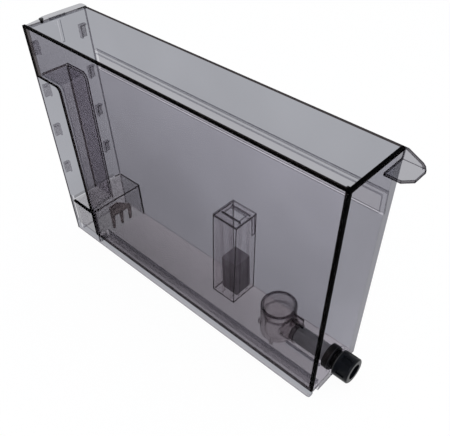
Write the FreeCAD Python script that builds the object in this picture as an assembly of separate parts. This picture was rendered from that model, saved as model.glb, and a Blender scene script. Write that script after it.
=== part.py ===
"""Slim open-topped fresh water tank with a float, a self-closing outlet valve and a union nut.

Millimetres, +Z up. X runs along the tank to the outlet end, and Y across it to the far wall.
Shapes are drawn from the tank's near left corner and moved at export, so that the row's origin is
the middle of the whole part's box, at the level it stands on.
"""
import FreeCAD, Part
import math
import os

V = FreeCAD.Vector

# Tank
LENGTH_TOP = 360.0
LENGTH_BASE = 349.3
WIDTH_TOP = 66.5
WIDTH_BASE = 70.6
HEIGHT = 249.0
WALL = 3.0
PANEL = 3.0  # front panel's thickness
LIP_LEFT = (-3.5, -4.2, -4.7)  # near edge laps past the left end wall: at the base, the notch and the rim
WELD_LIP = (5.0, 1.5)  # thicker edge that the panel is welded to at the right: width, depth
LEDGE_TOP = 11.6  # raised strip of floor along the front panel
LEDGE_DEPTH = 15.0
SKIRT_ROUND = 5.0  # lower right corner of the skirt

# Foot platform and pocket at the left end
POCKET_LENGTH = 35.5
POCKET_DEPTH = 30.5
POCKET_DRAFT = 4.5  # the pocket is this much shorter at its back
POCKET_TOP = 200.0
POCKET_WALL = 2.5
POCKET_ROUND = 5.0
PLATFORM_TOP = 45.9
SKIRT_STEP = 0.5  # the wall below the platform is set back from the skirt
NOTCH_LOW_RIGHT = 34.5  # the panel laps a little over the pocket's edges
NOTCH_RIGHT = 31.7
NOTCH_TOP = 198.0

# Shallow band pressed outward in the far wall
BAND_LOW = 181.5
BAND_HIGH = 204.5
BAND_START = 1.0
BAND_END = 353.0
BAND_STEP = 2.4

# Small features of the tray
INNER_RIB = (1.2, 31.5, 34.5, 224.6, 246.0)  # on the left end wall: height, near, far, low, top
FLOOR_RIB = (295.0, 336.0, 30.8, 32.2, 8.5)  # beside the pipe: start, end, near, far, top
GATE = (179.0, 39.0, 5.0, 4.2, 0.4)  # moulding gate's ring on the floor: x, y, radii, depth

# Left end
FLANGE_THICK = 3.0
FLANGE_REACH = 9.0
STUD_PLACE = (-2.6, 19.0)
STUD_RADIUS = 1.4
STUD_HEAD = 1.2
LUG_WIDTH = 7.5
LUG_HEIGHT = 13.5
LUG_DEPTH = 4.0
LUG_WALL = 1.6
LUG_ROWS = (87.0, 135.0, 181.0, 225.5)
LUG_WEBS = ((-1, 9.6), (1, 56.4))  # each column's side and its web's outer face

# Handle at the right end
HANDLE_TIP = 380.0
HANDLE_NEAR = 41.0
HANDLE_FAR = 66.5
HANDLE_LEVEL = 241.0
HANDLE_THICK = 2.6
HANDLE_CORNER = 7.0

# Float cage, which leans a little with the walls: (x0, x1, y0, y1) at its foot and its top
CAGE_FOOT = (190.0, 220.3, 34.9, 67.3)
CAGE_HEAD = (194.5, 225.5, 37.0, 65.6)
CAGE_TOP = 110.0
CAGE_WALL = 1.8
GUIDE_X = (196.1, 217.6)  # the ribs' inner faces stand upright, so that the float rises straight
GUIDE_Y = 43.2
GUIDE_WIDTH = 1.4
CAP_THICK = 2.0
CAP_WINDOW = (201.0, 220.0, 46.5, 56.0)
CAP_BARS = (43.6, 57.2)
CAP_BAR = 1.5
FLOAT_X = (196.5, 217.2)
FLOAT_Y = (43.6, 65.0)
FLOAT_Z = (5.0, 50.5)
MAGNET_RADIUS = 4.0
MAGNET_HEIGHT = 8.0
PLUG_HEIGHT = 3.0

# Outlet, all on one axis along X
AXIS_Y = 41.0
AXIS_Z = 16.0
COLLAR_X = 276.6
COLLAR_RADIUS = 18.1
COLLAR_BORE = 15.2
COLLAR_LOWER_BORE = 13.6
COLLAR_STEP_Z = 28.0
COLLAR_TOP = 40.0
FIN_END = 306.5
FIN_THICK = 1.8
FIN_LOW = 27.0
FOOT_ANGLES = (200, 290, 60)
PIPE_RADIUS = 9.0
PIPE_BORE = 7.5
PIPE_START = 297.0
COUPLING_START = 287.0
COUPLING_END = 302.0
COUPLING_RADIUS = 10.4
PAD_INNER = 346.0
PAD_OUTER = 351.0
PAD_RADIUS = 14.5
WALL_HOLE = 10.2
SPIGOT_RADIUS = 10.0
SPIGOT_END = 362.5
CHAMBER_RADIUS = 7.0
HOUSING_RADIUS = 12.6
HOUSING_START = 341.5
GASKET_THICK = 1.5
SEAT_START = 357.0
SEAT_END = 359.5
SEAT_BORE = 4.5
CAP_START = 338.5
NIPPLE_START = 330.0
NIPPLE_BORE = 4.5
POPPET_BACK = 351.5
NUT_START = 352.25
NUT_END = 368.0
NUT_RADIUS = 13.1
NUT_BORE = 10.05
NUT_LIP = 364.5
NUT_OPENING = 8.0
GRIP_POCKETS = 6
GRIP_DEPTH = 1.5
GRIP_TURN = 12.0

RUNNING = 0.07  # radial clearance of the running fits
MID_X = (HANDLE_TIP - FLANGE_REACH) / 2
MID_Y = WIDTH_BASE / 2


def far_y(z):
    """Outer face of the leaning far wall at height z."""
    return WIDTH_BASE + (WIDTH_TOP - WIDTH_BASE) * z / HEIGHT


def right_x(z):
    """Outer face of the leaning right end wall at height z."""
    return LENGTH_BASE + (LENGTH_TOP - LENGTH_BASE) * z / HEIGHT


def block(x0, x1, y0, y1, z0, z1):
    return Part.makeBox(x1 - x0, y1 - y0, z1 - z0, V(x0, y0, z0))


def tube_x(outer, inner, x0, x1):
    """Tube or rod on the outlet's axis."""
    base = V(x0, AXIS_Y, AXIS_Z)
    body = Part.makeCylinder(outer, x1 - x0, base, V(1, 0, 0))
    if inner > 0:
        body = body.cut(Part.makeCylinder(inner, x1 - x0, base, V(1, 0, 0)))
    return body


def post(radius, x, y, z0, z1):
    return Part.makeCylinder(radius, z1 - z0, V(x, y, z0), V(0, 0, 1))


def prism(points, direction):
    """Straight prism of a closed outline."""
    return Part.Face(Part.makePolygon(points + points[:1])).extrude(direction)


def frustum(low_box, high_box, z0, z1):
    """Block with flat faces between two level rectangles, each (x0, x1, y0, y1)."""
    rings = []
    for (x0, x1, y0, y1), z in ((low_box, z0), (high_box, z1)):
        rings.append([V(x0, y0, z), V(x1, y0, z), V(x1, y1, z), V(x0, y1, z)])
    low, high = rings
    outlines = [low, high]
    for i in range(4):
        j = (i + 1) % 4
        outlines.append([low[i], low[j], high[j], high[i]])
    faces = [Part.Face(Part.makePolygon(points + points[:1])) for points in outlines]
    solid = Part.Solid(Part.Shell(faces))
    if solid.Volume < 0:
        solid.reverse()
    return solid


def tapered(z0, z1, x0, y0, inset):
    """Block between two levels that follows the two leaning walls, inset from their outer faces."""
    boxes = [(x0, right_x(z) - inset, y0, far_y(z) - inset) for z in (z0, z1)]
    return frustum(*boxes, z0, z1)


def pocket_block(grow, z0, z1, radius):
    """Pocket's shape with its draft, rounded where the roof meets its inner end."""
    x1 = POCKET_LENGTH + grow
    y1 = POCKET_DEPTH + grow
    outside = -20.0
    corners = [V(outside, outside, z0), V(x1, outside, z0), V(x1, 0, z0), V(x1 - POCKET_DRAFT, y1, z0),
               V(outside, y1, z0)]
    body = prism(corners, V(0, 0, z1 - z0))
    edges = []
    for edge in body.Edges:
        box = edge.BoundBox
        if box.ZMin > z1 - 0.01 and box.XMin > x1 - POCKET_DRAFT - 0.01:
            edges.append(edge)
    return body.makeFillet(radius, edges)


def make_body():
    """Moulded tray: everything but the near side, which the front panel closes."""
    envelope = tapered(0, HEIGHT, 0, 0, 0)
    tray = tapered(0, HEIGHT, 0, PANEL, 0).cut(tapered(WALL, HEIGHT + 1, WALL, PANEL - 1, WALL))

    # The floor steps up along the front panel, over a channel that is open below and at the right.
    ledge = block(0, LENGTH_TOP, 0, LEDGE_DEPTH, 0, LEDGE_TOP)
    riser_x = POCKET_LENGTH + POCKET_WALL
    channel = block(WALL, LENGTH_TOP, PANEL, LEDGE_DEPTH - WALL, -1, LEDGE_TOP - WALL)
    tray = tray.fuse(ledge.common(envelope)).cut(channel)

    # Foot platform with its riser, open below.
    under = block(WALL, POCKET_LENGTH, PANEL, WIDTH_BASE, -1, PLATFORM_TOP - WALL)
    tray = tray.cut(under.common(tapered(-1, HEIGHT, WALL, PANEL, WALL)))
    platform = block(0, riser_x, PANEL, WIDTH_BASE, PLATFORM_TOP - WALL, PLATFORM_TOP)
    platform = platform.fuse(block(0, POCKET_LENGTH, 0, PANEL, PLATFORM_TOP - WALL, PLATFORM_TOP))
    riser = block(POCKET_LENGTH, riser_x, PANEL, WIDTH_BASE, 0, PLATFORM_TOP)
    tray = tray.fuse(platform.common(envelope)).fuse(riser.common(envelope))

    # Pocket let in from the near side.
    outside = pocket_block(POCKET_WALL, 0, POCKET_TOP + POCKET_WALL, POCKET_ROUND + POCKET_WALL)
    inside = pocket_block(0, -1, POCKET_TOP, POCKET_ROUND)
    limits = block(WALL - 1, riser_x, PANEL, WIDTH_BASE, PLATFORM_TOP - 1, HEIGHT)
    tray = tray.fuse(outside.cut(inside).common(limits))
    base_x, notch_x = LIP_LEFT[:2]
    near_edge = prism([V(base_x, 0, 0), V(WALL, 0, 0), V(WALL, 0, NOTCH_TOP), V(notch_x, 0, NOTCH_TOP)],
                      V(0, PANEL, 0))
    below = block(0, POCKET_LENGTH, SKIRT_STEP, PANEL + SKIRT_STEP, LEDGE_TOP - WALL, PLATFORM_TOP)
    tray = tray.fuse(near_edge).fuse(below)

    # Rounded end of the skirt.
    r = SKIRT_ROUND
    corner = block(LENGTH_BASE - r, LENGTH_TOP, -1, PANEL, -1, r)
    rod = Part.makeCylinder(r, PANEL + 2, V(LENGTH_BASE - r, -2, r), V(0, 1, 0))
    tray = tray.cut(corner.cut(rod))

    # Band stepped outward in the far wall.
    def band_slab(z0, z1, x0, x1, inner, outer):
        corners = [V(x0, far_y(z0) - inner, z0), V(x0, far_y(z0) + outer, z0),
                   V(x0, far_y(z1) + outer, z1), V(x0, far_y(z1) - inner, z1)]
        return prism(corners, V(x1 - x0, 0, 0))

    proud = band_slab(BAND_LOW, BAND_HIGH, BAND_START, BAND_END, 1.0, BAND_STEP)
    hollow = band_slab(BAND_LOW + WALL, BAND_HIGH - WALL, BAND_START + WALL, BAND_END - WALL,
                       WALL + 1, BAND_STEP - WALL)
    tray = tray.fuse(proud).cut(hollow)

    # Outlet pad and hole, and the edge that the panel is welded to.
    tray = tray.fuse(tube_x(PAD_RADIUS, 0, PAD_INNER, PAD_OUTER))
    tray = tray.cut(tube_x(WALL_HOLE, 0, PAD_INNER - 5, PAD_OUTER + 5))
    width, depth = WELD_LIP
    edge = tapered(LEDGE_TOP, HEIGHT, 0, PANEL, 0)
    lip = edge.cut(tapered(LEDGE_TOP - 1, HEIGHT + 1, -1, PANEL - 1, width))
    tray = tray.fuse(lip.common(block(LENGTH_BASE - 20, LENGTH_TOP, PANEL, PANEL + depth, LEDGE_TOP, HEIGHT)))

    # Floor rib beside the pipe, rib inside the left end wall, and the moulding gate's mark.
    start, end, near, far, top = FLOOR_RIB
    tray = tray.fuse(block(start, end, near, far, WALL - 0.5, top))
    height, near, far, low, top = INNER_RIB
    tray = tray.fuse(block(WALL - 0.5, WALL + height, near, far, low, top))
    x, y, outer, inner, depth = GATE
    gate = post(outer, x, y, WALL - depth, WALL + 1).cut(post(inner, x, y, 0, WALL + 2))
    return tray.cut(gate).removeSplitter()


def make_front_panel():
    """Flat sheet with the pocket's notch cut out of its left edge."""
    right, top = NOTCH_RIGHT, NOTCH_TOP
    arc_x = right - POCKET_ROUND
    arc_z = top - POCKET_ROUND
    turn = POCKET_ROUND * math.sqrt(0.5)
    corners = [V(LIP_LEFT[1], 0, top), V(LIP_LEFT[2], 0, HEIGHT), V(right_x(HEIGHT), 0, HEIGHT),
               V(right_x(LEDGE_TOP), 0, LEDGE_TOP), V(POCKET_LENGTH, 0, LEDGE_TOP),
               V(POCKET_LENGTH, 0, PLATFORM_TOP), V(NOTCH_LOW_RIGHT, 0, PLATFORM_TOP), V(right, 0, arc_z)]
    edges = [Part.LineSegment(a, b).toShape() for a, b in zip(corners, corners[1:])]
    arc = Part.Arc(corners[-1], V(arc_x + turn, 0, arc_z + turn), V(arc_x, 0, top))
    edges.append(arc.toShape())
    edges.append(Part.LineSegment(V(arc_x, 0, top), corners[0]).toShape())
    return Part.Face(Part.Wire(edges)).extrude(V(0, PANEL, 0))


def make_end_flange():
    """Strip outside the left rim, wider past the stud's hole, with a downturned lip at its outer edge."""
    far = WIDTH_TOP + 1.5
    z = HEIGHT - FLANGE_THICK
    step_y = 20.5
    narrow = 5.7
    x, y = STUD_PLACE
    outline = [V(0, PANEL, z), V(-PANEL, PANEL, z), V(-narrow, step_y - 2.5, z), V(-narrow, step_y, z),
               V(-FLANGE_REACH + 0.5, step_y + 1.5, z), V(-FLANGE_REACH, step_y + 9.5, z),
               V(-FLANGE_REACH, far - 2.0, z), V(-FLANGE_REACH + 2.0, far, z), V(0, far, z)]
    strip = prism(outline, V(0, 0, FLANGE_THICK))
    lip = block(-FLANGE_REACH, -FLANGE_REACH + 1.4, step_y + 9.5, step_y + 27.5, z - FLANGE_THICK, z)
    hole = post(STUD_RADIUS + 0.05, x, y, z - 1, HEIGHT + 1)
    return strip.fuse(lip).cut(hole).removeSplitter()


def make_flange_stud():
    x, y = STUD_PLACE
    shank = post(STUD_RADIUS, x, y, HEIGHT - FLANGE_THICK, HEIGHT)
    return shank.fuse(post(STUD_RADIUS + 0.7, x, y, HEIGHT, HEIGHT + STUD_HEAD))


def make_guide_lugs():
    """Eight hooked lugs: a web near the middle and a flange that reaches towards the tank's edge."""
    lugs = []
    for side, web_y in LUG_WEBS:
        for z in LUG_ROWS:
            low = z - LUG_HEIGHT / 2
            tip_y = max(web_y + side * LUG_WIDTH, PANEL + 0.1)
            y0, y1 = sorted((web_y, tip_y))
            plate = block(-LUG_DEPTH, -LUG_DEPTH + LUG_WALL, y0, y1, low, low + LUG_HEIGHT)
            w0, w1 = sorted((web_y, web_y + side * LUG_WALL))
            web = block(-LUG_DEPTH, 0, w0, w1, low, low + LUG_HEIGHT)
            roof = block(-LUG_DEPTH, 0, y0, y1, low + LUG_HEIGHT - LUG_WALL, low + LUG_HEIGHT)
            lugs.append(plate.fuse(web).fuse(roof).removeSplitter())
    return Part.makeCompound(lugs)


def make_pull_handle():
    """Finger lip: a level plate with cut corners, and a gusset along its far edge that rises to the rim."""
    root = right_x(HANDLE_LEVEL) - WALL
    low = HANDLE_LEVEL - HANDLE_THICK
    c = HANDLE_CORNER
    near, far, tip = HANDLE_NEAR, HANDLE_FAR, HANDLE_TIP
    outline = [V(root, near, low), V(tip - c, near, low), V(tip, near + c, low), V(tip, far - 0.6 * c, low),
               V(tip - 0.4 * c, far, low), V(root, far, low)]
    plate = prism(outline, V(0, 0, HANDLE_THICK))
    end = tip - 0.4 * c
    profile = [V(root, far, low), V(root, far, HEIGHT), V(LENGTH_TOP + 2.5, far, HEIGHT),
               V(end - 2.2, far, HANDLE_LEVEL + 2.0), V(end, far, HANDLE_LEVEL), V(end, far, low)]
    gusset = prism(profile, V(0, -HANDLE_THICK, 0))
    handle = plate.fuse(gusset).removeSplitter()
    crease = []
    for edge in handle.Edges:
        box = edge.BoundBox
        level = abs(box.ZMin - HANDLE_LEVEL) < 0.01 and abs(box.ZMax - HANDLE_LEVEL) < 0.01
        inner = abs(box.YMin - (far - HANDLE_THICK)) < 0.01 and abs(box.YMax - (far - HANDLE_THICK)) < 0.01
        if level and inner:
            crease.append(edge)
    handle = handle.makeFillet(1.9, crease)
    return handle.cut(tapered(200, HEIGHT + 1, 0, 0, 0)).removeSplitter()


def make_rib_bracket():
    """Forked plate on the riser's inner face, with three tapering prongs and one pin hole."""
    face = POCKET_LENGTH + POCKET_WALL
    thick = 2.2
    low = 26.0
    outline = [V(face, 21.5, low), V(face, 21.5, 40.5), V(face, 33, 41.5), V(face, 49, 30), V(face, 49, low)]
    plate = prism(outline, V(thick, 0, 0))
    plate = plate.cut(Part.makeCylinder(1.6, 10, V(face - 3, 29.5, 36.5), V(1, 0, 0)))
    prong_width = 2.8
    foot = 8.6
    for y in (21.6, 33.6, 45.6):
        prong = [V(face, y, low + 2), V(face + 5.0, y, low + 2), V(face + 1.6, y, foot), V(face, y, foot)]
        plate = plate.fuse(prism(prong, V(0, prong_width, 0)))
    return plate.removeSplitter()


def make_float_cage():
    """Leaning box that is open to the far wall, with upright guide ribs, rest bars and a water gap."""
    w = CAGE_WALL
    whole = frustum(CAGE_FOOT, CAGE_HEAD, WALL, CAGE_TOP)
    hollow_foot = (CAGE_FOOT[0] + w, CAGE_FOOT[1] - w, CAGE_FOOT[2] + w, CAGE_FOOT[3] + 1)
    hollow_head = (CAGE_HEAD[0] + w, CAGE_HEAD[1] - w, CAGE_HEAD[2] + w, CAGE_HEAD[3] + 1)
    cage = whole.cut(frustum(hollow_foot, hollow_head, WALL, CAGE_TOP))

    parts = []
    rib_top = CAGE_TOP - 4
    for y in (47.0, 59.0):
        parts.append(block(CAGE_FOOT[0], GUIDE_X[0], y, y + GUIDE_WIDTH, WALL, rib_top))
        parts.append(block(GUIDE_X[1], CAGE_HEAD[1], y, y + GUIDE_WIDTH, WALL, rib_top))
        parts.append(block(CAGE_FOOT[0], CAGE_FOOT[1], y - 1, y + GUIDE_WIDTH - 1, WALL, FLOAT_Z[0] - 0.1))
    for x in (200.0, 212.0):
        parts.append(block(x, x + GUIDE_WIDTH, CAGE_FOOT[2], GUIDE_Y, WALL, rib_top))
    for part in parts:
        cage = cage.fuse(part.common(whole))
    x0, _, _, far = CAGE_FOOT
    gap = block(x0 - 1, x0 + w + 0.5, far - 9, far + 1, WALL - 1, WALL + 8)
    return cage.cut(gap).removeSplitter()


def make_float_cage_cap():
    """Lid with a window between two bars, and one snap arm down the cage's right side."""
    x0, x1, y0, y1 = CAGE_HEAD
    top = CAGE_TOP + CAP_THICK
    lid = block(x0, x1, y0, y1, CAGE_TOP, top).cut(block(*CAP_WINDOW, CAGE_TOP - 1, top + 1))
    for y in CAP_BARS:
        lid = lid.fuse(block(CAP_WINDOW[0] - 1, x1 - 1.5, y, y + CAP_BAR, top, top + CAP_BAR))
    arm_thick = 1.4
    arm = block(x1, x1 + arm_thick, 57.5, 62.0, CAGE_TOP - 22, top)
    return lid.fuse(arm).removeSplitter()


def float_hole_depth():
    return MAGNET_HEIGHT + PLUG_HEIGHT


def float_middle():
    return (sum(FLOAT_X) / 2, sum(FLOAT_Y) / 2)


def make_float_body():
    body = block(*FLOAT_X, *FLOAT_Y, *FLOAT_Z)
    body = body.makeFillet(1.5, body.Edges)
    x, y = float_middle()
    return body.cut(post(MAGNET_RADIUS, x, y, FLOAT_Z[1] - float_hole_depth(), FLOAT_Z[1] + 1))


def make_float_magnet():
    x, y = float_middle()
    low = FLOAT_Z[1] - float_hole_depth()
    return post(MAGNET_RADIUS, x, y, low, low + MAGNET_HEIGHT)


def make_float_plug():
    x, y = float_middle()
    return post(MAGNET_RADIUS, x, y, FLOAT_Z[1] - PLUG_HEIGHT, FLOAT_Z[1])


def make_outlet_collar():
    """Stepped ring on the floor, open towards the pipe, with a fin and three feet."""
    def stand(radius, z0, z1):
        return post(radius, COLLAR_X, AXIS_Y, z0, z1)

    ring = stand(COLLAR_RADIUS, WALL, COLLAR_TOP)
    fin = block(COLLAR_X + COLLAR_BORE + 1.6, FIN_END, AXIS_Y, AXIS_Y + FIN_THICK, FIN_LOW, COLLAR_TOP)
    ring = ring.fuse(fin)
    for angle in FOOT_ANGLES:
        foot = block(COLLAR_RADIUS - 2, COLLAR_RADIUS + 3.2, -1.6, 1.6, WALL, WALL + 6)
        foot.rotate(V(0, 0, 0), V(0, 0, 1), angle)
        foot.translate(V(COLLAR_X, AXIS_Y, 0))
        ring = ring.fuse(foot)
    ring = ring.cut(stand(COLLAR_LOWER_BORE, WALL - 1, COLLAR_TOP + 1))
    ring = ring.cut(stand(COLLAR_BORE, COLLAR_STEP_Z, COLLAR_TOP + 1))
    ring = ring.cut(tube_x(COUPLING_RADIUS + RUNNING, 0, COLLAR_X, COUPLING_END))
    return ring.removeSplitter()


def make_pipe_coupling():
    coupling = tube_x(COUPLING_RADIUS, PIPE_BORE, COUPLING_START, COUPLING_END)
    return coupling.cut(tube_x(PIPE_RADIUS, 0, PIPE_START, COUPLING_END + 1))


def make_outlet_pipe():
    return tube_x(PIPE_RADIUS, PIPE_BORE, PIPE_START, CAP_START)


def make_valve_cap():
    """Rear cover of the valve's chamber, with the nipple that the pipe slides over."""
    cover = tube_x(HOUSING_RADIUS, NIPPLE_BORE, CAP_START, HOUSING_START)
    return cover.fuse(tube_x(PIPE_BORE, NIPPLE_BORE, NIPPLE_START, CAP_START)).removeSplitter()


def make_valve_body():
    """Flange inside the wall and threaded spigot outside it, with the poppet's chamber and seat."""
    flange_end = PAD_INNER - GASKET_THICK
    body = tube_x(HOUSING_RADIUS, 0, HOUSING_START, flange_end)
    body = body.fuse(tube_x(SPIGOT_RADIUS, 0, flange_end, SPIGOT_END))
    body = body.cut(tube_x(CHAMBER_RADIUS, 0, HOUSING_START - 1, SEAT_START))
    body = body.cut(tube_x(SEAT_BORE, 0, SEAT_START - 1, SEAT_END + 1))
    body = body.cut(tube_x(CHAMBER_RADIUS, 0, SEAT_END, SPIGOT_END + 1))
    return body.removeSplitter()


def make_wall_gasket():
    return tube_x(HOUSING_RADIUS - 0.3, WALL_HOLE, PAD_INNER - GASKET_THICK, PAD_INNER)


def make_outer_washer():
    return tube_x(NUT_RADIUS - 0.3, WALL_HOLE, PAD_OUTER, NUT_START - 0.05)


def make_union_nut():
    """Hand nut with a rounded outer edge and a ring of grip pockets."""
    nut = tube_x(NUT_RADIUS, 0, NUT_START, NUT_END)
    rim = [edge for edge in nut.Edges if edge.BoundBox.XMin > NUT_END - 0.01]
    nut = nut.makeFillet(1.6, rim)
    nut = nut.cut(tube_x(NUT_BORE, 0, NUT_START - 1, NUT_LIP))
    nut = nut.cut(tube_x(NUT_OPENING, 0, NUT_START, NUT_END + 1))
    for step in range(GRIP_POCKETS):
        pocket = block(NUT_START + 3.2, NUT_END - 3.4, -3.0, 3.0, NUT_RADIUS - GRIP_DEPTH, NUT_RADIUS + 2)
        pocket.rotate(V(0, 0, 0), V(1, 0, 0), 360.0 * step / GRIP_POCKETS + GRIP_TURN)
        pocket.translate(V(0, AXIS_Y, AXIS_Z))
        nut = nut.cut(pocket)
    return nut.removeSplitter()


def make_nut_seal():
    return tube_x(NUT_BORE - 0.25, CHAMBER_RADIUS - 0.2, SPIGOT_END + 0.3, NUT_LIP)


def make_valve_poppet():
    """Head with four guide wings in the chamber, and a stem that reaches through the seat."""
    head = tube_x(5.6, 0, POPPET_BACK + 2.0, POPPET_BACK + 4.0)
    head = head.fuse(tube_x(1.6, 0, POPPET_BACK + 4.0, SPIGOT_END - 1.0))
    reach = CHAMBER_RADIUS - RUNNING
    guide = tube_x(reach, 0, POPPET_BACK, POPPET_BACK + 4.0)
    for wing in (block(POPPET_BACK, POPPET_BACK + 4.0, AXIS_Y - 0.8, AXIS_Y + 0.8, 0, 40),
                 block(POPPET_BACK, POPPET_BACK + 4.0, 20, 60, AXIS_Z - 0.8, AXIS_Z + 0.8)):
        head = head.fuse(guide.common(wing))
    return head.removeSplitter()


def make_poppet_seal():
    return tube_x(5.6, 1.6, POPPET_BACK + 4.0, SEAT_START - 0.05)


def make_valve_spring():
    """Round-wire compression spring between the rear cover and the poppet."""
    wire = 0.45
    turns = 5
    low = HOUSING_START + wire
    span = POPPET_BACK - HOUSING_START - 2 * wire - 0.1
    helix = Part.makeHelix(span / turns, span, 5.4)
    profile = Part.Wire(Part.Circle(V(5.4, 0, 0), V(0, 1, 0), wire).toShape())
    coil = Part.Wire(helix.Edges).makePipeShell([profile], True, True)
    coil.rotate(V(0, 0, 0), V(0, 1, 0), 90)
    coil.translate(V(low, AXIS_Y, AXIS_Z))
    return coil


NODES = {
    "tank_body": make_body,
    "front_panel": make_front_panel,
    "end_flange": make_end_flange,
    "flange_stud": make_flange_stud,
    "guide_lugs": make_guide_lugs,
    "pull_handle": make_pull_handle,
    "rib_bracket": make_rib_bracket,
    "float_cage": make_float_cage,
    "float_cage_cap": make_float_cage_cap,
    "float_body": make_float_body,
    "float_magnet": make_float_magnet,
    "float_plug": make_float_plug,
    "outlet_collar": make_outlet_collar,
    "pipe_coupling": make_pipe_coupling,
    "outlet_pipe": make_outlet_pipe,
    "valve_cap": make_valve_cap,
    "valve_body": make_valve_body,
    "wall_gasket": make_wall_gasket,
    "outer_washer": make_outer_washer,
    "union_nut": make_union_nut,
    "nut_seal": make_nut_seal,
    "valve_poppet": make_valve_poppet,
    "poppet_seal": make_poppet_seal,
    "valve_spring": make_valve_spring,
}

os.makedirs("parts", exist_ok=True)
for name, make in NODES.items():
    shape = make()
    shape.translate(V(-MID_X, -MID_Y, 0))
    shape.exportStep("parts/" + name + ".step")
    box = shape.BoundBox
    print(name, shape.isValid(), len(shape.Solids), round(shape.Volume, 1),
          [round(v, 1) for v in (box.XMin, box.XMax, box.YMin, box.YMax, box.ZMin, box.ZMax)])
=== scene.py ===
"""Looks for the fresh water tank: smoked clear plastic with dark edges, black outlet fittings, white studio.

Metres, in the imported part's frame. Clear pieces are finer meshes made from the frame's own nodes. A look
along a sheet goes through more plastic than a look across it, so narrow faces get a darker finish and a dark
line lies just inside the edges.
"""

import math

import bmesh
import bpy
from mathutils import Matrix, Vector


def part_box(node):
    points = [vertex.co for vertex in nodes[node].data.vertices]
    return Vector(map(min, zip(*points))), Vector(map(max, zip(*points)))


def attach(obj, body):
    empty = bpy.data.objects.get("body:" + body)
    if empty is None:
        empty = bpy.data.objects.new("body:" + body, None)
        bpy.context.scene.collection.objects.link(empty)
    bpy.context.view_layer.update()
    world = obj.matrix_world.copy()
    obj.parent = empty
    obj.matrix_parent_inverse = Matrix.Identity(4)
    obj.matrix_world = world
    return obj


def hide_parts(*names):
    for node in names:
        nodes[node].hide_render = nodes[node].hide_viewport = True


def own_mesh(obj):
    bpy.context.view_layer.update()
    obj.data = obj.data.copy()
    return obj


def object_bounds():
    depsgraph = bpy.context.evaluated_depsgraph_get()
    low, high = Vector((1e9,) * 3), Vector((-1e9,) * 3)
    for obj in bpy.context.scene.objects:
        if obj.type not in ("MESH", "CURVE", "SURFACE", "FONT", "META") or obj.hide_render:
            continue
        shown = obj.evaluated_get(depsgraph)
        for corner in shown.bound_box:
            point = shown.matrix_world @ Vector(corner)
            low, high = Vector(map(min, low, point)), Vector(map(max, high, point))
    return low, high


MM = 0.001

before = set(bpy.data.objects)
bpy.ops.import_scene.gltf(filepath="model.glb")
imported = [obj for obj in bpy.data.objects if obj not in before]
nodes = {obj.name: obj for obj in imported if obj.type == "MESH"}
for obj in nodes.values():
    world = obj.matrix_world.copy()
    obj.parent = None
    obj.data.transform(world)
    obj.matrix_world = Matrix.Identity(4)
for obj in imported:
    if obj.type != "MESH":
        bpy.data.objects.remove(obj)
cad_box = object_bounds()
tank_low, tank_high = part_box("tank_body")
TANK_LENGTH = 360 * MM
CORNER = Vector((tank_high[0] - TANK_LENGTH, tank_low[1], tank_low[2]))  # near left, at the tank's base


def at(x, y, z):
    """Place from millimetres right, back and up from the tank's near left corner."""
    return CORNER + Vector((x, y, z)) * MM


def spot(place):
    """Millimetres right, back and up from the tank's near left corner."""
    return (place - CORNER) / MM


# ---------------------------------------------------------------- materials

class Graph:
    """A material's node tree, with short calls to add and link nodes."""

    def __init__(self, name):
        self.material = bpy.data.materials.new(name)
        self.material.use_nodes = True
        self.tree = self.material.node_tree
        self.tree.nodes.clear()
        self.output = self.add("OutputMaterial")

    def add(self, kind):
        return self.tree.nodes.new("ShaderNode" + kind)

    def link(self, source, target):
        self.tree.links.new(source, target)

    def math(self, operation, *values):
        node = self.add("Math")
        node.operation = operation
        for socket, value in zip(node.inputs, values):
            if isinstance(value, (int, float)):
                socket.default_value = value
            else:
                self.link(value, socket)
        return node.outputs[0]

    def noise(self, scale, detail=2.0):
        place = self.add("TexCoord")
        texture = self.add("TexNoise")
        texture.inputs["Scale"].default_value = scale
        texture.inputs["Detail"].default_value = detail
        self.link(place.outputs["Object"], texture.inputs["Vector"])
        return texture.outputs["Fac"]

    def multiply(self, first, second):
        node = self.add("Mix")
        node.data_type = "RGBA"
        node.blend_type = "MULTIPLY"
        node.inputs[0].default_value = 1.0
        self.link(first, node.inputs[6])
        self.link(second, node.inputs[7])
        return node.outputs[2]

    def ramp(self, factor, low, high, dark, light, clamp=True):
        """Colour between dark and light as the factor goes from low to high."""
        node = self.add("MapRange")
        node.data_type = "FLOAT"
        node.clamp = clamp
        self.link(factor, node.inputs["Value"])
        node.inputs["From Min"].default_value = low
        node.inputs["From Max"].default_value = high
        mix = self.add("Mix")
        mix.data_type = "RGBA"
        mix.clamp_factor = clamp
        self.link(node.outputs[0], mix.inputs[0])
        mix.inputs[6].default_value = (*dark, 1.0)
        mix.inputs[7].default_value = (*light, 1.0)
        return mix.outputs[2]


BLACK = (0.0, 0.0, 0.0)
WHITE = (1.0, 1.0, 1.0)
MOTTLE = (0.35, 0.65)  # stretch of the noise over which a mottle goes from dark to light
CLOUD_SCALE = 9.0
CLOUD = 0.02  # how much a smoked sheet's tint varies either way
TURN = (0.55, 0.95)  # how far a curved wall has turned away where its rim starts and ends to darken
SHEET_ROUGHNESS = 0.05


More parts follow.
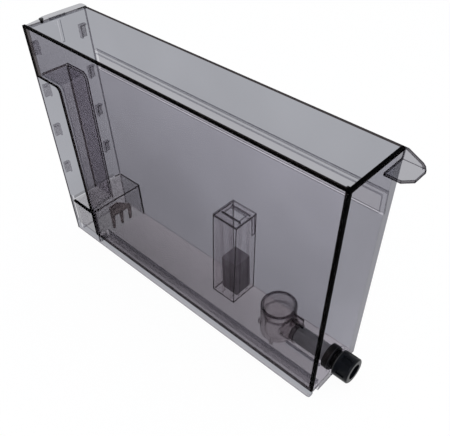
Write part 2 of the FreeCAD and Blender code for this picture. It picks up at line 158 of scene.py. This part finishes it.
def smoked(name, light, gloss=0.03, rim=1.0, painted_shade_slope=None):
    """Clear tinted sheet. light is the share of each colour that one surface lets through, rim is how much
    of that is left where a curved wall turns away, and the slope given last is a painted shade: how much more
    it lets through per metre right and up, counted from the tank's middle at its base, so that the sheet
    reads darker lower down and to the left."""
    g = Graph(name)
    clear = g.add("BsdfTransparent")
    dark = [c * (1 - CLOUD) for c in light]
    pale = [min(1.0, c * (1 + CLOUD)) for c in light]
    tint = g.ramp(g.noise(CLOUD_SCALE), *MOTTLE, dark, pale)
    # Painted shade: the tint is scaled by place, darker lower down and to the left, lighter up and to the
    # right.
    if painted_shade_slope is not None:
        place = g.add("TexCoord")
        split = g.add("SeparateXYZ")
        g.link(place.outputs["Object"], split.inputs[0])
        right = g.math("MULTIPLY", split.outputs[0], painted_shade_slope[0])
        up = g.math("MULTIPLY", split.outputs[2], painted_shade_slope[1])
        painted_shade_gain = g.math("ADD", g.math("ADD", right, up), 1.0)
        tint = g.multiply(tint, g.ramp(painted_shade_gain, 0.0, 1.0, BLACK, WHITE, clamp=False))
    facing = g.add("LayerWeight")
    facing.inputs["Blend"].default_value = 0.5
    if rim < 1.0:
        tint = g.multiply(tint, g.ramp(facing.outputs["Facing"], *TURN, WHITE, (rim, rim, rim)))
    g.link(tint, clear.inputs["Color"])
    shine = g.add("BsdfGlossy")
    shine.inputs["Color"].default_value = (*WHITE, 1.0)
    shine.inputs["Roughness"].default_value = SHEET_ROUGHNESS
    # A sheet mirrors little face on and more towards a glancing look.
    rise = g.math("POWER", facing.outputs["Facing"], 5.0)
    mirror = g.math("MULTIPLY_ADD", rise, 0.9 * gloss, 0.05 * gloss)
    mix = g.add("MixShader")
    g.link(mirror, mix.inputs[0])
    g.link(clear.outputs[0], mix.inputs[1])
    g.link(shine.outputs[0], mix.inputs[2])
    g.link(mix.outputs[0], g.output.inputs["Surface"])
    return g.material


def solid_plastic(name, dark, light, roughness, grain=900.0, bump=0.02, coat=0.0, specular=0.5):
    """Opaque moulded plastic or rubber with a slight mottle and a fine moulded grain."""
    g = Graph(name)
    shader = g.add("BsdfPrincipled")
    g.link(g.ramp(g.noise(60.0, 3.0), *MOTTLE, dark, light), shader.inputs["Base Color"])
    shader.inputs["Roughness"].default_value = roughness
    shader.inputs["Specular IOR Level"].default_value = specular
    shader.inputs["Coat Weight"].default_value = coat
    shader.inputs["Coat Roughness"].default_value = 0.12
    relief = g.add("Bump")
    relief.inputs["Strength"].default_value = bump
    relief.inputs["Distance"].default_value = 0.2 * MM
    g.link(g.noise(grain, 4.0), relief.inputs["Height"])
    g.link(relief.outputs["Normal"], shader.inputs["Normal"])
    g.link(shader.outputs[0], g.output.inputs["Surface"])
    return g.material


def steel(name, tint, roughness):
    """Bright metal with a slight mottle."""
    g = Graph(name)
    shader = g.add("BsdfPrincipled")
    shader.inputs["Metallic"].default_value = 1.0
    shader.inputs["Roughness"].default_value = roughness
    dark = [c * 0.85 for c in tint]
    g.link(g.ramp(g.noise(300.0, 3.0), 0.3, 0.7, dark, tint), shader.inputs["Base Color"])
    g.link(shader.outputs[0], g.output.inputs["Surface"])
    return g.material


wall_clear = smoked("smoked_wall", (0.605, 0.61, 0.635))
outer_clear = smoked("smoked_outer", (0.44, 0.44, 0.455))
near_low_clear = smoked("smoked_near_low", (0.385, 0.385, 0.40))
band_clear = smoked("smoked_band", (0.645, 0.645, 0.665))
end_clear = smoked("smoked_end", (0.875, 0.865, 0.885))
end_strip = smoked("smoked_end_strip", (0.47, 0.465, 0.485))
floor_clear = smoked("smoked_floor", (0.65, 0.64, 0.66))
faint_clear = smoked("smoked_faint", (0.95, 0.945, 0.955))
pocket_end = smoked("smoked_pocket_end", (0.90, 0.885, 0.90))
pocket_back = smoked("smoked_pocket_back", (0.78, 0.765, 0.79))
# The front panel's tint carries a painted shade, darker lower down and to the left.
panel_clear_painted_shade = smoked("smoked_panel_painted_shade", (0.598, 0.588, 0.606), painted_shade_slope=(0.61, 1.71))
pale_clear = smoked("smoked_pale", (0.78, 0.77, 0.785), rim=0.8)
flange_clear = smoked("smoked_flange", (0.70, 0.70, 0.715))
cage_clear = smoked("smoked_cage", (0.94, 0.93, 0.935))
collar_clear = smoked("smoked_collar", (0.83, 0.81, 0.815), rim=0.55, gloss=0.1)
rim_black = smoked("smoked_rim", (0.05, 0.043, 0.04))
rim_dark = smoked("smoked_rim_dark", (0.07, 0.06, 0.055))
rim_far = smoked("smoked_rim_far", (0.08, 0.07, 0.07))
rim_soft = smoked("smoked_rim_soft", (0.26, 0.25, 0.26))
weld_dark = smoked("smoked_weld", (0.13, 0.12, 0.125))
line_dark = smoked("smoked_line", (0.42, 0.40, 0.41))
line_mid = smoked("smoked_line_mid", (0.62, 0.61, 0.63))
line_soft = smoked("smoked_line_soft", (0.86, 0.85, 0.86))
bracket_dark = smoked("smoked_bracket", (0.60, 0.56, 0.555))
black_plastic = solid_plastic("black_plastic", (0.0015, 0.002, 0.003), (0.003, 0.004, 0.006), 0.3,
                              specular=0.1)
housing_plastic = solid_plastic("housing_plastic", (0.002, 0.002, 0.002), (0.012, 0.009, 0.008), 0.4,
                                specular=0.1)
rubber = solid_plastic("black_rubber", (0.006, 0.006, 0.006), (0.014, 0.014, 0.015), 0.6, grain=600.0)
float_grey = solid_plastic("float_grey", (0.19, 0.18, 0.19), (0.27, 0.257, 0.27), 0.6, grain=500.0, bump=0.1)
pipe_grey = solid_plastic("pipe_grey", (0.10, 0.098, 0.10), (0.14, 0.138, 0.142), 0.25, coat=0.2)
magnet_metal = steel("magnet_nickel", (0.45, 0.44, 0.42), 0.25)
spring_metal = steel("spring_steel", (0.62, 0.62, 0.61), 0.22)


# ---------------------------------------------------------------- finer meshes of clear nodes

SHARP = math.radians(30)
FLAT = math.radians(0.3)
MERGE_REACH = 0.001 * MM
CUT_REACH = 0.005 * MM


def measure_patches(work):
    """Width of the smooth patch that each face is in: twice the patch's area over its outline."""
    widths = {}
    for start in work.faces:
        if start in widths:
            continue
        widths[start] = 0.0
        queue = [start]
        group = []
        outline = 0.0
        while queue:
            face = queue.pop()
            group.append(face)
            for edge in face.edges:
                if len(edge.link_faces) != 2 or edge.calc_face_angle(math.pi) > SHARP:
                    outline += edge.calc_length()
                    continue
                for other in edge.link_faces:
                    if other not in widths:
                        widths[other] = 0.0
                        queue.append(other)
        width = 2 * sum(face.calc_area() for face in group) / max(outline, 1e-9)
        for face in group:
            widths[face] = width / MM
    return widths


SQUARE = ((1, 1), (-1, 1), (-1, -1), (1, -1))
LINE_GAP = 0.15  # millimetres between a dark line and the faces it lies under


def add_line(work, start, end, normals, radius, look):
    """Dark line just inside an edge: a square tube close under the edge's two faces."""
    one, two = normals
    middle = -(one + two) * ((radius + LINE_GAP) * MM / max(0.5, 1 + one.dot(two)))
    along = (end - start).normalized()
    side = (one - along * one.dot(along)).normalized() * radius * MM
    up = along.cross(side)
    rings = []
    for point in (start, end):
        centre = point + middle
        rings.append([work.verts.new(centre + a * side + b * up) for a, b in SQUARE])
    first, last = rings
    for i in range(4):
        side_face = [first[i], first[(i + 1) % 4], last[(i + 1) % 4], last[i]]
        work.faces.new(side_face).material_index = look


def refined(node, looks, paint, line, inset=0.02, cuts=()):
    """Finer mesh for a node, in place of it and inset by a few hundredths of a millimetre.

    paint(middle, normal, width) gives each face's look, and line(middle, direction) gives the radius and the
    look of the dark line along each sharp edge, or None. Both work in millimetres from the tank's corner.
    cuts are planes that split faces first, so that the two parts can differ in look.
    """
    names = list(looks)
    work = bmesh.new()
    work.from_mesh(nodes[node].data)
    bmesh.ops.remove_doubles(work, verts=work.verts[:], dist=MERGE_REACH)
    bmesh.ops.dissolve_limit(work, angle_limit=FLAT, verts=work.verts[:], edges=work.edges[:])
    for place, normal in cuts:
        geometry = work.verts[:] + work.edges[:] + work.faces[:]
        bmesh.ops.bisect_plane(work, geom=geometry, dist=CUT_REACH, plane_co=place, plane_no=normal)
    work.normal_update()
    lines = []
    for edge in work.edges:
        if len(edge.link_faces) != 2 or edge.calc_face_angle(0.0) <= SHARP:
            continue
        start, end = (vertex.co.copy() for vertex in edge.verts)
        chosen = line(spot((start + end) / 2), (end - start).normalized())
        if chosen is not None:
            lines.append((start, end, [face.normal.copy() for face in edge.link_faces], chosen))
    widths = measure_patches(work)
    for face in work.faces:
        face.material_index = names.index(paint(spot(face.calc_center_median()), face.normal, widths[face]))
        face.smooth = True
    for vertex in work.verts:
        vertex.co -= vertex.normal * inset * MM
    for start, end, normals, (radius, look) in lines:
        add_line(work, start, end, normals, radius, names.index(look))
    mesh = bpy.data.meshes.new(node + "_fine")
    work.to_mesh(mesh)
    work.free()
    for name in names:
        mesh.materials.append(looks[name])
    mesh.set_sharp_from_angle(angle=SHARP)
    piece = bpy.data.objects.new(node + "_fine", mesh)
    bpy.context.scene.collection.objects.link(piece)
    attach(piece, "tank")
    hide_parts(node)


# ---------------------------------------------------------------- looks of the tank's faces and edges

LINES = {"black": rim_black, "dark": line_dark, "mid": line_mid, "soft": line_soft, "faint": faint_clear}

ALONG = 0.9  # a unit vector lies along an axis if its share there is more than this
LEANING = 0.5  # the same for the faces that lean

# Bounds that tell the tank's faces and edges apart, in millimetres from its near left corner. A single
# number is a plane with the named side beyond it, and a pair is the stretch that holds the side.
# To the right:
LEFT_END = (-0.5, 4)
RECESS_RIGHT = 36
RISER = (35, 41)
POCKET_RIGHT = 39
RIGHT_END = 340
RIGHT_RIM = 350
# To the back:
NEAR = 4
CHANNEL_SIDE = (11, 13)
POCKET_BACK = 34
FAR = 60
# Up:
FLOOR_TOP = 12
RECESS_WALL = (11, 46.5)
PLATFORM = (42, 47.5)
PLATFORM_TOP = 46
BAND = (180, 206)
POCKET_TOP = 204
RIM = 248
# Where the right end wall meets the front panel:
SEAT_LEFT, SEAT_DEPTH, SEAT_LOW = 338, (2.9, 4.7), 11.5

BAND_SIDE = 5  # the band's sloping sides are narrower than this

# Heights at which a wall's tint changes: from the front, a look that enters lower down goes through the
# platform or the floor too.
LEFT_END_FOOT = 44.4
POCKET_END_FOOT = 48.3
POCKET_BACK_FOOT = 50.4
RIGHT_END_FOOT = 14

STRIP = 7.2  # a look into the right end wall this close to the far wall leaves by that wall's outer face
FAR_INSIDE = 67.6
FAR_LEAN = (4.1, 249)  # the far wall leans in by the first over a rise of the second


def far_inside(z):
    """Inner face of the leaning far wall."""
    return FAR_INSIDE - FAR_LEAN[0] * z / FAR_LEAN[1]


def paint_tank(middle, normal, width):
    """Look of each of the tank body's faces; the first rule that fits it counts."""
    x, y, z = middle
    flat_x, flat_y, flat_z = (abs(share) > ALONG for share in normal)
    in_band = BAND[0] < z < BAND[1]
    in_pocket = x < POCKET_RIGHT and y < POCKET_BACK and z > PLATFORM_TOP

    # Rim, and the edge that the front panel is welded to
    if normal.z > ALONG and z > RIM:
        if x > RIGHT_RIM:
            return "black"
        return "rim_far" if y > FAR else "dark"
    if x > SEAT_LEFT and SEAT_DEPTH[0] < y < SEAT_DEPTH[1] and z > SEAT_LOW and not flat_x:
        return "black"

    # Foot recess: the left end wall is faint, and elsewhere a wall's outer face carries its whole tint
    if flat_x and LEFT_END[0] < x < LEFT_END[1] and z < LEFT_END_FOOT:
        return "faint"
    if flat_y and x < RECESS_RIGHT and y < NEAR and RECESS_WALL[0] < z < RECESS_WALL[1]:
        return "near_low" if normal.y < 0 else "faint"
    if normal.x > ALONG and x > RIGHT_END and z < RIGHT_END_FOOT:
        return "outer"
    if flat_z and x < RISER[1] and PLATFORM[0] < z < PLATFORM[1]:
        return "outer" if normal.z > 0 else "faint"
    if flat_x and RISER[0] < x < RISER[1] and z < PLATFORM[1]:
        return "outer" if normal.x > 0 else "faint"
    if normal.y < -ALONG and x < RECESS_RIGHT and y > FAR and z < 44:
        return "faint"
    if in_pocket and normal.x < -LEANING and z < POCKET_END_FOOT:
        return "outer"
    if in_pocket and normal.y < -LEANING and z < POCKET_BACK_FOOT:
        return "outer"

    # Right end wall, and the sloping sides of the far wall's band
    if flat_x and x > RIGHT_END and not (in_band and width < BAND_SIDE):
        through_far = normal.x > 0 and width > 10 and y > far_inside(z) - STRIP
        return "end_strip" if through_far else "end"
    if in_band and y > FAR and abs(normal.y) < LEANING and width < BAND_SIDE:
        below_or_left = normal.z > LEANING and z < 190 or normal.x > LEANING and x < 10
        return "wall" if below_or_left else "faint"

    # Pocket's end, back and top
    if in_pocket and x > 30 and z < POCKET_TOP and abs(normal.x) > LEANING:
        return "pocket_end"
    if in_pocket and flat_y and y > 27:
        return "pocket_back"
    if x < POCKET_RIGHT and 199 < z < 203 and abs(normal.z) > LEANING:
        return "pocket_back"

    # Floor and far wall
    if flat_y and CHANNEL_SIDE[0] < y < CHANNEL_SIDE[1] and z < FLOOR_TOP:
        return "faint"
    if flat_z and z < FLOOR_TOP:
        return "floor"
    return "band" if flat_y and y > 55 and 181 < z < 205 else "wall"


def line_tank(middle, direction):
    """Line along each of the tank body's sharp edges; the first rule that fits it counts."""
    x, y, z = middle
    upright = abs(direction.z) > ALONG
    across = abs(direction.y) > ALONG
    lengthwise = not (upright or across)
    left = x < POCKET_RIGHT

    # Rib under the left rim, the band's two long edges, and the rims
    if x < 5 and 30 < y < 36 and z > 220:
        return None
    if y > FAR and BAND[0] - 2 < z < BAND[1] + 2:
        shown = lengthwise and x < 352 and (z > 203 or z < 186 and y < 67.5)
        return (0.2, "mid") if shown else None
    if z > RIM:
        return (1.3, "black") if across and x > 359 else None

    # Upright edges: the near left corner, the far ends of the riser and of the left end wall, the near end
    # of the riser, and the pocket's corners
    if upright:
        if x < -1 and y < 1 and z < 200:
            return 0.4, "dark"
        if y > FAR:
            if 30 < x < 45 and z < PLATFORM_TOP:
                return 0.5, "dark"
            return (0.6, "mid") if 2 < x < 4 else None
        if 30 < x < POCKET_RIGHT and y < NEAR and z < PLATFORM_TOP:
            return 0.7, "mid"
        return (0.45, "dark") if left and z > PLATFORM_TOP and 20 < y < 36 else None

    # Level edges: the near wall's, the pocket top's, the platform's, and those at the foot
    if y < NEAR and 45 < z < 47 and x < RECESS_RIGHT:
        return (1.1, "black") if y < 1 else None
    if y < NEAR and z > PLATFORM_TOP:
        return None
    if left and 195 < z < POCKET_TOP:
        return 0.45, "dark"
    if left and PLATFORM[0] < z < 47:
        return (0.6, "dark") if z > 45 and (across and x > RECESS_RIGHT or y > FAR) else None
    if 2 < z < 4 and y > FAR:
        return 0.4, "soft"
    if z < 4 and (y < 1 or x > RIGHT_END):
        return 0.3, "soft"
    return (0.3, "soft") if across and z > 8 else None


TANK_LOOKS = {
    "wall": wall_clear, "outer": outer_clear, "near_low": near_low_clear, "band": band_clear,
    "end": end_clear, "end_strip": end_strip, "floor": floor_clear, "pocket_end": pocket_end,
    "pocket_back": pocket_back, "rim_far": rim_far, **LINES,
}
FOOT_CUTS = [(at(0, 0, height), Vector((0, 0, 1)))
             for height in (RIGHT_END_FOOT, LEFT_END_FOOT, POCKET_END_FOOT, POCKET_BACK_FOOT)]
TANK_CUTS = [
    (at(0, FAR_INSIDE - STRIP, 0), Vector((0, FAR_LEAN[1], FAR_LEAN[0])).normalized()),
    (at(0, 0, 0), Vector((1, 0, 0))), *FOOT_CUTS,
]
refined("tank_body", TANK_LOOKS, paint_tank, line_tank, cuts=TANK_CUTS)


# ---------------------------------------------------------------- looks of the other clear pieces

WELD_WIDTH = 0.5  # dark strip down the panel's left edge
PANEL_FOOT = 20  # the panel's lower edges lie below this


def paint_panel(middle, normal, width):
    """Look of each of the front panel's faces: tinted sheet, dark weld, black narrow edges."""
    if abs(normal.y) > ALONG:
        return "weld" if middle.x < WELD_WIDTH else "panel"
    if normal.z < -ALONG and middle.z < PANEL_FOOT:
        return "weld"
    return "rim_dark" if normal.x > ALONG else "black"


def line_panel(middle, direction):
    """Black lines round the panel's near face, above its foot; the rim's and the right end's are thicker."""
    x, y, z = middle
    if y > 1 or z < PANEL_FOOT:
        return None
    if z > RIM:
        return 0.75, "black"
    return (0.85, "black") if x > RIGHT_END else (0.35, "black")


PANEL_LOOKS = {"panel": panel_clear_painted_shade, "weld": weld_dark, "rim_dark": rim_dark, **LINES}
refined("front_panel", PANEL_LOOKS, paint_panel, line_panel, inset=0.04,
        cuts=[(at(WELD_WIDTH, 0, 0), Vector((1, 0, 0)))])


def plain(look):
    """Paint rule that gives every face one look."""
    return lambda middle, normal, width: look


def every(radius, look):
    """Line rule that gives every sharp edge one line."""
    return lambda middle, direction: (radius, look)


def no_line(middle, direction):
    """Line rule for a piece without lines."""
    return None


CAGE_FOOT, CAGE_HEIGHT = 3, 107
CAGE_NEAR, CAGE_LEFT, CAGE_RIGHT = (34.9, 2.1), (190, 4.5), (220.3, 5.2)  # place at the foot, lean to the top
CAGE_DEPTH = 28
CAGE_REACH = 0.5  # an edge this close to a side's outer face is an outer edge


def line_cage(middle, direction):
    """The box's outer edges show as dark lines, and its level inner edges faintly."""
    x, y, z = middle
    rise = (z - CAGE_FOOT) / CAGE_HEIGHT
    near, left, right = (foot + lean * rise for foot, lean in (CAGE_NEAR, CAGE_LEFT, CAGE_RIGHT))
    at_near = y < near + CAGE_REACH
    at_end = x < left + CAGE_REACH or x > right - CAGE_REACH
    if abs(direction.z) > ALONG:
        return (0.35, "dark") if at_end and (at_near or y > near + CAGE_DEPTH) else None
    return (0.35, "dark") if at_near or at_end else (0.2, "soft")


def paint_lug(middle, normal, width):
    """The lugs' level tops are darker."""
    return "mid" if normal.z > ALONG else "clear"


COLLAR_FEET, COLLAR_RING = 14, 38  # the feet lie below the first, the top ring above the second


def line_collar(middle, direction):
    """Lines on the collar's feet, on its step and, thickest, on its top ring."""
    if middle.z < COLLAR_FEET:
        return 0.2, "soft"
    return (0.6, "mid") if middle.z > COLLAR_RING else (0.3, "mid")


HANDLE_EDGE = 2.7  # faces of the handle narrower than this are its edges


def paint_handle(middle, normal, width):
    """The handle's narrow edges are darker."""
    return "edge" if width < HANDLE_EDGE else "clear"


for node, looks, paint, line, slot in (
        ("end_flange", {"clear": flange_clear}, plain("clear"), no_line, "smoked_pale"),
        ("guide_lugs", {"clear": pale_clear}, paint_lug, no_line, "smoked_pale"),
        ("pull_handle", {"clear": band_clear, "edge": rim_soft}, paint_handle, every(0.25, "mid"),
         "smoked_pale"),
        ("rib_bracket", {"clear": bracket_dark}, plain("clear"), every(0.2, "soft"), "smoked_dark"),
        ("float_cage", {"clear": cage_clear}, plain("clear"), line_cage, "smoked_clear"),
        ("float_cage_cap", {"clear": cage_clear}, plain("clear"), every(0.22, "mid"), "smoked_clear"),
        ("outlet_collar", {"clear": collar_clear}, plain("clear"), line_collar, "smoked_clear"),
        ("pipe_coupling", {"clear": collar_clear}, plain("clear"), every(0.2, "soft"), "smoked_clear")):
    refined(node, {**looks, **LINES}, paint, line)


# ---------------------------------------------------------------- spring, and CAD pieces kept as they are


def make_spring():
    """The valve's spring, a still copy of its node in spring steel; on the real valve its coils close up
    towards the cap as the poppet goes in.
    """
    mesh = nodes["valve_spring"].data.copy()
    mesh.materials.clear()
    mesh.materials.append(spring_metal)
    piece = bpy.data.objects.new("valve_spring_coils", mesh)
    bpy.context.scene.collection.objects.link(piece)
    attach(piece, "tank")
    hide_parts("valve_spring")
    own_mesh(piece)


make_spring()

CAD_LOOKS = {
    "flange_stud": rubber, "float_body": float_grey, "float_magnet": magnet_metal, "float_plug": float_grey,
    "outlet_pipe": pipe_grey, "valve_cap": housing_plastic, "valve_body": housing_plastic,
    "wall_gasket": rubber, "outer_washer": rubber, "union_nut": black_plastic, "nut_seal": rubber,
    "valve_poppet": float_grey, "poppet_seal": rubber,
}
for node, material in CAD_LOOKS.items():
    nodes[node].data.materials.clear()
    nodes[node].data.materials.append(material)


# ---------------------------------------------------------------- studio

FLOOR_SIZE = 6.0
FLOOR_GAP = 0.1 * MM  # floor's depth below the tank
FLOOR_MATT = 0.06  # share of the floor's look that takes shadows


def make_floor():
    """Pale floor, bright enough to read as a white ground, that still takes a faint shadow."""
    mesh = bpy.data.meshes.new("studio_floor")
    work = bmesh.new()
    bmesh.ops.create_grid(work, x_segments=1, y_segments=1, size=FLOOR_SIZE)
    work.to_mesh(mesh)
    work.free()
    g = Graph("studio_floor")
    glow = g.add("Emission")
    glow.inputs["Color"].default_value = (*WHITE, 1.0)
    glow.inputs["Strength"].default_value = 1.0
    matt = g.add("BsdfDiffuse")
    matt.inputs["Color"].default_value = (0.9, 0.9, 0.9, 1.0)
    mix = g.add("MixShader")
    mix.inputs[0].default_value = FLOOR_MATT
    g.link(glow.outputs[0], mix.inputs[1])
    g.link(matt.outputs[0], mix.inputs[2])
    g.link(mix.outputs[0], g.output.inputs["Surface"])
    mesh.materials.append(g.material)
    floor = bpy.data.objects.new("studio_floor", mesh)
    floor.location.z = cad_box[0][2] - FLOOR_GAP
    bpy.context.scene.collection.objects.link(floor)


def make_light(name, place, target, width, power):
    """Square light aimed at a target; place, target and width are in metres, power in watts."""
    data = bpy.data.lights.new(name, "AREA")
    data.shape = "SQUARE"
    data.size = width
    data.energy = power
    light = bpy.data.objects.new(name, data)
    light.location = place
    light.rotation_euler = (Vector(target) - Vector(place)).to_track_quat("-Z", "Y").to_euler()
    bpy.context.scene.collection.objects.link(light)


def make_camera():
    """Camera at the reference's place: right of the tank's near corner, looking down at it."""
    data = bpy.data.cameras.new("camera")
    data.sensor_width = 36.0
    data.lens = 46.38
    data.shift_x = -0.0864
    data.shift_y = 0.0328
    data.clip_start = 0.01
    data.clip_end = 20.0
    right = Vector((0.75448, 0.65621, 0.01214))
    forward = Vector((-0.47498, 0.55869, -0.67990))
    up = right.cross(forward)
    turn = Matrix((right, up, -forward)).transposed().to_4x4()
    place = at(501.2, -247.8, 473.5)
    camera = bpy.data.objects.new("camera", data)
    camera.matrix_world = Matrix.Translation(place) @ turn
    bpy.context.scene.collection.objects.link(camera)
    bpy.context.scene.camera = camera


scene = bpy.context.scene
world = bpy.data.worlds.new("studio")
world.use_nodes = True
world.node_tree.nodes["Background"].inputs["Color"].default_value = (0.95, 0.97, 1.0, 1.0)
world.node_tree.nodes["Background"].inputs["Strength"].default_value = 1.0
scene.world = world
scene.view_settings.view_transform = "Standard"
scene.cycles.transparent_max_bounces = 64
make_floor()
make_light("key", place=(0.9, -0.9, 1.6), target=(0.0, 0.0, 0.1), width=0.9, power=12.0)
make_camera()
